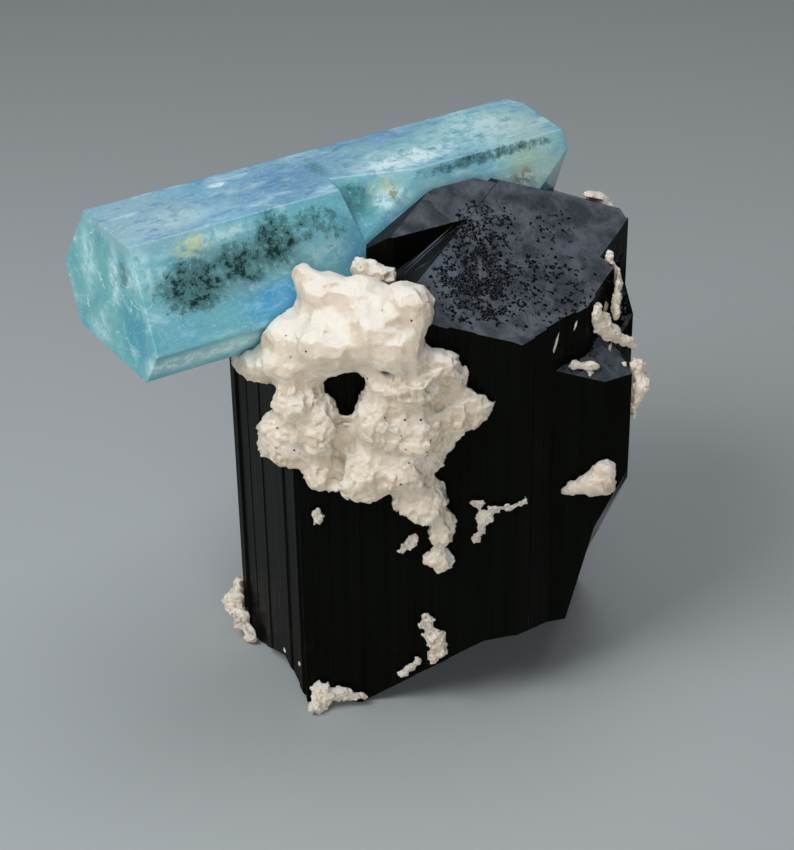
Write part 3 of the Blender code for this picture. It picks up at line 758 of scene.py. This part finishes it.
class SPECIMEN_OT_inclusions(bpy.types.Operator):
    """Makes the veils and the dark inclusions inside the aquamarine"""
    bl_idname = "specimen.inclusions"
    bl_label = "Veils and inclusions"

    def execute(self, context):
        look, sizes = context.scene.specimen_look, context.scene.specimen_sizes
        rng = random.Random(11)
        bm = bmesh.new()
        count = 0
        while count < sizes.veils:
            point = (rng.uniform(1, 51), rng.uniform(-9, 8), rng.uniform(-6, 8))
            length = rng.uniform(2.5, 8.0)
            if not inside_aquamarine(point, length * 0.34 + 0.5):
                continue
            # none behind the notch, where the crystal is thinner
            if 24.0 < point[0] < 42.0 and point[2] > -2.0:
                continue
            tilt = Vector((rng.uniform(-0.35, 0.35), rng.uniform(-1, 1), rng.uniform(-1, 1)))
            film(bm, point, tilt, length, length * rng.uniform(0.25, 0.55), 0.04, rng)
            count += 1
        bm.transform(aqua_matrix())
        veils = mesh_object("aquamarine_veils", bm, veil_material(), smooth=True)
        finish_piece(veils, "aquamarine")
        bm = bmesh.new()
        count = 0
        while count < sizes.inclusions:
            centre, half, _ = AQUA_MOTTLES[rng.choice((0, 0, 0, 1, 2, 2, 3, 3))]
            point = tuple(c + h * rng.gauss(0, 0.42) for c, h in zip(centre, half))
            if not inside_aquamarine(point, 0.55):
                continue
            tilt = Vector((rng.uniform(-1, 1), rng.uniform(-1, 1), rng.uniform(-1, 1)))
            spin = Vector((rng.uniform(-1, 1), rng.uniform(-1, 1), rng.uniform(-1, 1)))
            size = rng.uniform(0.25, 0.9)
            flake(bm, point, tilt, size, size * rng.uniform(0.3, 0.8), 0.08, rng, spin)
            count += 1
        bm.transform(aqua_matrix())
        finish_piece(mesh_object("aquamarine_dark_inclusions", bm, inclusion_material(look)),
                     "aquamarine")
        return {"FINISHED"}


def refine(bm, wanted):
    """Splits edges until each is no longer than wanted says at its middle."""
    for _ in range(9):
        long_edges = [e for e in bm.edges
                      if e.calc_length() > wanted((e.verts[0].co + e.verts[1].co) * 0.5)]
        if not long_edges:
            break
        bmesh.ops.subdivide_edges(bm, edges=long_edges, cuts=1)
        bmesh.ops.triangulate(bm, faces=[f for f in bm.faces if len(f.verts) > 3])


class SPECIMEN_OT_tourmaline(bpy.types.Operator):
    """Makes the tourmaline with etch pits and a rough broken shoulder"""
    bl_idname = "specimen.tourmaline"
    bl_label = "Tourmaline"

    def execute(self, context):
        sizes = context.scene.specimen_sizes
        bm = node_bmesh("tourmaline_crystal")
        bmesh.ops.triangulate(bm, faces=bm.faces)
        pit_centre, rough_centre = Vector(PIT_CENTRE) * MM, Vector(ROUGH_CENTRE) * MM

        def wanted(point):
            if (point - rough_centre).length < ROUGH_REACH * MM:
                return ROUGH_EDGE * MM
            if point.z > PIT_LOWEST * MM and (point - pit_centre).length < PIT_REACH * MM:
                return PIT_EDGE * MM
            return PLAIN_EDGE * MM

        bm.normal_update()
        refine(bm, wanted)
        bm.normal_update()
        facing = Vector(ETCHED_FACE).normalized()
        noise.seed_set(PIT_SEED)
        moves = []
        for vert in bm.verts:
            sharp = any(len(e.link_faces) == 2 and e.calc_face_angle(0) > 0.15
                        for e in vert.link_edges)
            push = 0.0
            if not sharp and vert.normal.dot(facing) > 0.97:
                near = 1 - min((vert.co - pit_centre).length / (PIT_REACH * MM), 1)
                bend = noise.noise_vector(vert.co / (0.7 * MM)) * 0.35
                first, second = noise.voronoi(vert.co / (0.6 * MM) + bend)[0][:2]
                patch = 0.5 + noise.fractal(vert.co / (1.8 * MM), 0.8, 2.0, 3)
                groove = max(0.0, 1 - (second - first) / 0.28) * min(max(patch, 0.0), 1.0)
                push -= groove * sizes.pit_depth * min(near * 2.2, 1)
            far = (vert.co - rough_centre).length
            if far < ROUGH_REACH * MM and not sharp:
                ease = min((1 - far / (ROUGH_REACH * MM)) * 2.5, 1)
                lumps = noise.fractal(vert.co / (1.1 * MM), 0.7, 2.1, 5)
                push -= (0.30 + 0.34 * lumps) * MM * ease
            moves.append(push)
        for vert, push in zip(bm.verts, moves):
            vert.co += vert.normal * push
        material = schorl_material(context.scene.specimen_look)
        finish_piece(mesh_object("tourmaline", bm, material), "tourmaline", "tourmaline_crystal")
        bm = bmesh.new()
        rng = random.Random(3)
        for start, end, width in LEDGES:
            start, end = Vector(start), Vector(end)
            flake(bm, (start + end) / 2, STEEP_FACE, (end - start).length, width, 0.22, rng,
                  end - start)
        bm.transform(Matrix.Scale(MM, 4))
        finish_piece(mesh_object("tourmaline_ledges", bm, material), "tourmaline")
        return {"FINISHED"}


def graininess(name, point):
    """How much of its grain relief a place keeps: the upper lump of the main mass is smooth."""
    if name != "albite_main_mass":
        return 1.0
    drop = SMOOTH_ABOVE + SMOOTH_RISE * point.x - point.z
    return 0.20 + 0.80 * min(max(drop / 1.6 + 0.5, 0.0), 1.0)


def blocks(point, grain):
    """Height at a point of a mass of small crystals: each one is a flat facet, tilted its own way."""
    place_in_cells = point / grain
    near = noise.voronoi(place_in_cells)[1][0]
    tilt = noise.cell_vector(near * 5.3) * 2.0 - Vector((1.0, 1.0, 1.0))
    return (place_in_cells - near).dot(tilt) * 1.1 + noise.cell(near * 3.7) - 0.5


def eased(co, ends, rounds):
    """Points with their small unevenness smoothed out and their bulk kept. ends are the edges."""
    first, second = ends.T
    count = len(co)
    degree = np.bincount(ends.ravel(), minlength=count)[:, None]
    for factor in (0.5, -0.53) * rounds:
        mean = np.empty_like(co)
        for axis in range(3):
            mean[:, axis] = (np.bincount(first, co[second, axis], count)
                             + np.bincount(second, co[first, axis], count))
        co = co + factor * (mean / degree - co)
    return co


def hollow(point):
    """How far in mm a place of the main mass is pressed in by its hole and creases."""
    deepest = 0.0
    for start, end, radius, depth in HOLLOWS:
        start, end = Vector(start), Vector(end)
        line = end - start
        share = 0.0
        if line.length:
            share = min(max((point - start).dot(line) / line.length_squared, 0.0), 1.0)
        near = 1.0 - (point - start - line * share).length / radius
        if near > 0.0:
            deepest = max(deepest, depth * near * (2.0 - near))
    return deepest


def grained(name, voxel, grain, depth, material):
    """A packed albite node as a fine mesh of small crystals grown together."""
    made = mesh_object(name + "_grained", node_bmesh(name), material, smooth=True)
    applied(made, REMESH={"mode": "VOXEL", "voxel_size": voxel * MM})
    mesh = made.data
    count = len(mesh.vertices)
    co = np.empty(count * 3)
    ends = np.empty(len(mesh.edges) * 2, dtype=np.int32)
    mesh.vertices.foreach_get("co", co)
    mesh.edges.foreach_get("vertices", ends)
    ends = ends.reshape(-1, 2)
    co = eased(co.reshape(-1, 3), ends, 3)
    mesh.vertices.foreach_set("co", co.ravel())
    mesh.update()
    normal = np.empty(count * 3)
    mesh.vertices.foreach_get("normal", normal)
    normal = normal.reshape(-1, 3)
    push = np.empty(count)
    for index in range(count):
        point = Vector(co[index]) / MM
        relief = blocks(point, grain) + 0.32 * blocks(point, grain * 0.40) - 0.35
        push[index] = min(relief, 0.35) * depth * graininess(name, point)
        if name == "albite_main_mass":
            push[index] -= hollow(point)
    co = eased(co + normal * (push * MM)[:, None], ends, 1)
    co[:, 2] = np.maximum(co[:, 2], 0.0)
    mesh.vertices.foreach_set("co", co.ravel())
    for polygon in mesh.polygons:
        polygon.use_smooth = name in SOFT_SHADED
    mesh.update()
    return made


class SPECIMEN_OT_albite(bpy.types.Operator):
    """Makes the albite pieces with their sugary grain"""
    bl_idname = "specimen.albite"
    bl_label = "Albite"

    def execute(self, context):
        material = albite_material(context.scene.specimen_look)
        for name, (voxel, grain, depth) in ALBITE_DETAIL.items():
            made = grained(name, voxel, grain, depth, material)
            made.data.materials.clear()
            made.data.materials.append(material)
            finish_piece(made, "albite", name)
        return {"FINISHED"}


class SPECIMEN_OT_flecks(bpy.types.Operator):
    """Makes the small flecks of albite on the tourmaline"""
    bl_idname = "specimen.flecks"
    bl_label = "Albite flecks"

    def execute(self, context):
        rng = random.Random(5)
        bm = bmesh.new()
        for centre, normal, length, width in FLECKS:
            outward = Vector(normal).normalized()
            flake(bm, Vector(centre) + outward * 0.04, outward, length, width, 0.34, rng,
                  Vector(FLECK_RUN))
        bm.transform(Matrix.Scale(MM, 4))
        material = bpy.data.materials["sugary_albite"]
        finish_piece(mesh_object("albite_flecks", bm, material), "albite")
        return {"FINISHED"}


class SPECIMEN_OT_stage(bpy.types.Operator):
    """Makes the floor, the studio lights and the camera"""
    bl_idname = "specimen.stage"
    bl_label = "Floor, lights and camera"

    def execute(self, context):
        scene = context.scene
        bm = bmesh.new()
        bmesh.ops.create_grid(bm, x_segments=1, y_segments=1, size=3.0)
        bmesh.ops.translate(bm, verts=bm.verts, vec=(0, 0, -0.02 * MM))
        floor = mesh_object("floor", bm, floor_material())
        world = bpy.data.worlds.new("studio")
        scene.world = world
        world.use_nodes = True
        background = world.node_tree.nodes["Background"]
        background.inputs["Color"].default_value = linear("B8C2CC")
        background.inputs["Strength"].default_value = 0.13
        target = Vector(TARGET) * MM
        for name, spot, size, power in LIGHTS:
            lamp = bpy.data.lights.new(name, "AREA")
            lamp.shape = "RECTANGLE"
            lamp.size = lamp.size_y = size * MM
            lamp.energy = power
            made = bpy.data.objects.new(name, lamp)
            made.location = Vector(spot) * MM
            made.rotation_euler = (target - made.location).to_track_quat("-Z", "Y").to_euler()
            scene.collection.objects.link(made)
        elevation, roll = math.radians(CAMERA_DOWN), math.radians(CAMERA_ROLL)
        forward = Vector((0, math.cos(elevation), -math.sin(elevation)))
        right, up = Vector((1, 0, 0)), Vector((0, math.sin(elevation), math.cos(elevation)))
        x_axis = right * math.cos(roll) + up * math.sin(roll)
        y_axis = up * math.cos(roll) - right * math.sin(roll)
        lens = bpy.data.cameras.new("camera")
        lens.lens = CAMERA_LENS
        lens.sensor_width = CAMERA_SENSOR
        camera = bpy.data.objects.new("camera", lens)
        turn = Matrix((x_axis, y_axis, -forward)).transposed().to_4x4()
        camera.matrix_world = Matrix.Translation(Vector(CAMERA_PLACE) * MM) @ turn
        scene.collection.objects.link(camera)
        scene.camera = camera
        scene.view_settings.view_transform = "Standard"
        return {"FINISHED"}


class SPECIMEN_PT_panel(bpy.types.Panel):
    """Lists the specimen's operators and settings"""
    bl_idname = "SPECIMEN_PT_panel"
    bl_label = "Specimen"
    bl_space_type = "VIEW_3D"
    bl_region_type = "UI"
    bl_category = "Specimen"

    def draw(self, context):
        for group in (context.scene.specimen_look, context.scene.specimen_sizes):
            for key in group.__annotations__:
                self.layout.prop(group, key)
        for operator in OPERATORS:
            self.layout.operator(operator.bl_idname)


OPERATORS = (SPECIMEN_OT_aquamarine, SPECIMEN_OT_inclusions, SPECIMEN_OT_tourmaline,
             SPECIMEN_OT_albite, SPECIMEN_OT_flecks, SPECIMEN_OT_stage)
CLASSES = (SpecimenLook, SpecimenSizes) + OPERATORS + (SPECIMEN_PT_panel,)


def register():
    """Makes the specimen's settings and operators known to Blender."""
    for cls in CLASSES:
        bpy.utils.register_class(cls)
    bpy.types.Scene.specimen_look = bpy.props.PointerProperty(type=SpecimenLook)
    bpy.types.Scene.specimen_sizes = bpy.props.PointerProperty(type=SpecimenSizes)


def unregister():
    """Takes them out again."""
    del bpy.types.Scene.specimen_sizes
    del bpy.types.Scene.specimen_look
    for cls in reversed(CLASSES):
        bpy.utils.unregister_class(cls)


def main():
    """Dresses the specimen piece by piece."""
    register()
    bpy.ops.specimen.aquamarine()
    bpy.ops.specimen.inclusions()
    bpy.ops.specimen.tourmaline()
    bpy.ops.specimen.albite()
    bpy.ops.specimen.flecks()
    bpy.ops.specimen.stage()


if __name__ == "__main__":
    main()
